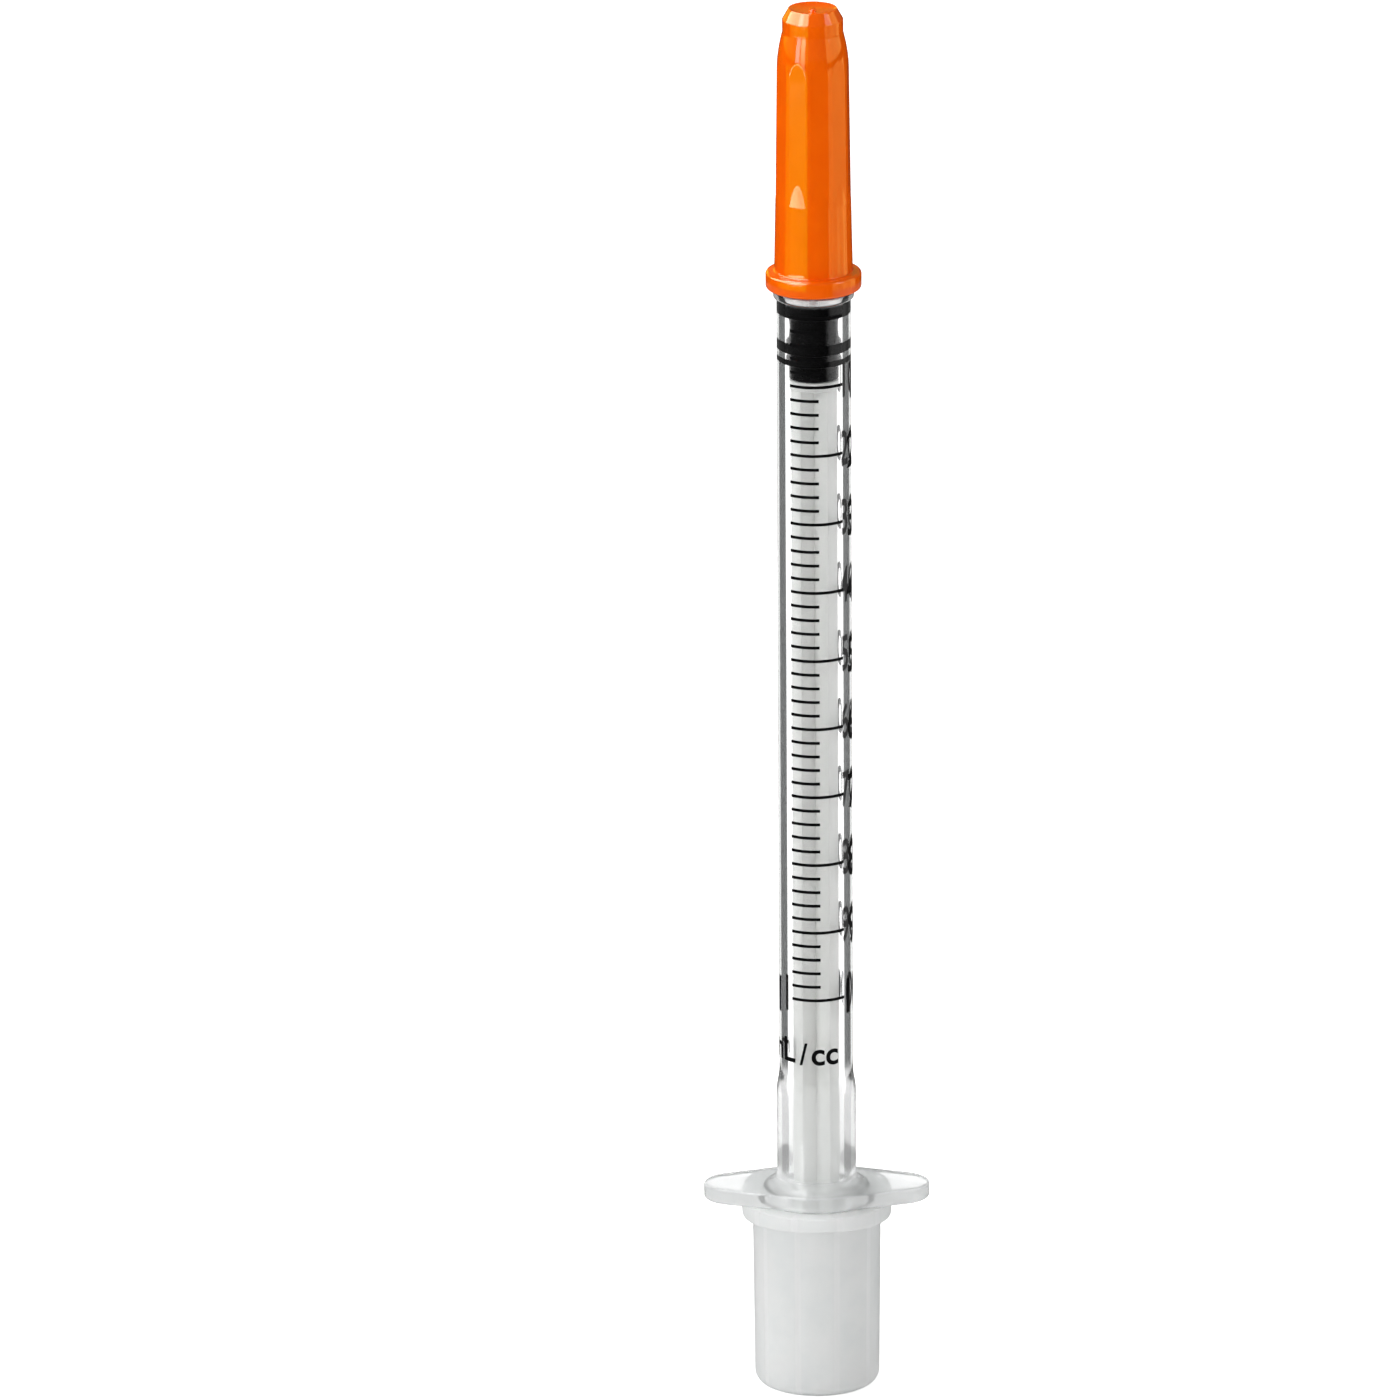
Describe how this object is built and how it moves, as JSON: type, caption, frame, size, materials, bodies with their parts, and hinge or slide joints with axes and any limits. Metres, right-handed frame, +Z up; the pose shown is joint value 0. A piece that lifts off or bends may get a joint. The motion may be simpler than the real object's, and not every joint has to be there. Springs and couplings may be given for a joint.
{
  "type": "insulin syringe",
  "caption": "Capped 1 mL insulin syringe: clear barrel with finger flange, sliding plunger and rubber stopper, fixed needle, orange needle shield and white plunger cap.",
  "frame": {"origin": "centre of the plunger cap's flat underside, which the syringe stands on", "axes": "+Z up the syringe's axis towards the needle; X along the finger flange's long side; the scale is read from -Y"},
  "size_m": [0.0188, 0.0124, 0.1192],
  "materials": {
    "clear_barrel": "clear polypropylene, moulded smooth",
    "black_ink": "pad-printed black ink",
    "needle_steel": "drawn stainless tube, polished",
    "clear_adhesive": "cured clear adhesive",
    "black_rubber": "black synthetic rubber, lightly siliconed",
    "white_rod": "white polypropylene, moulded smooth",
    "orange_shield": "orange polyethylene, semi-gloss",
    "white_cap": "natural white polyethylene, satin"
  },
  "bodies": {
    "barrel_body": {"barrel": "clear_barrel", "printed_scale": "black_ink", "needle": "needle_steel", "needle_glue": "clear_adhesive"},
    "stopper_body": {"stopper": "black_rubber"},
    "rod_body": {"plunger_rod": "white_rod"},
    "shield_body": {"needle_shield": "orange_shield"},
    "cap_body": {"plunger_cap": "white_cap"}
  },
  "joints": [
    {"name": "plunger_draw", "type": "slide", "parent": "barrel_body", "child": "stopper_body", "axis": [0, 0, -1], "range_m": [0, 0.0591]},
    {"name": "rod_spin", "type": "hinge", "parent": "stopper_body", "child": "rod_body", "pos_m": [0, 0, 0.0881], "axis": [0, 0, 1], "continuous": true},
    {"name": "shield_pull", "type": "slide", "parent": "barrel_body", "child": "shield_body", "axis": [0, 0, 1], "range_m": [0, 0.03]},
    {"name": "cap_pull", "type": "slide", "parent": "rod_body", "child": "cap_body", "axis": [0, 0, -1], "range_m": [0, 0.025]}
  ]
}
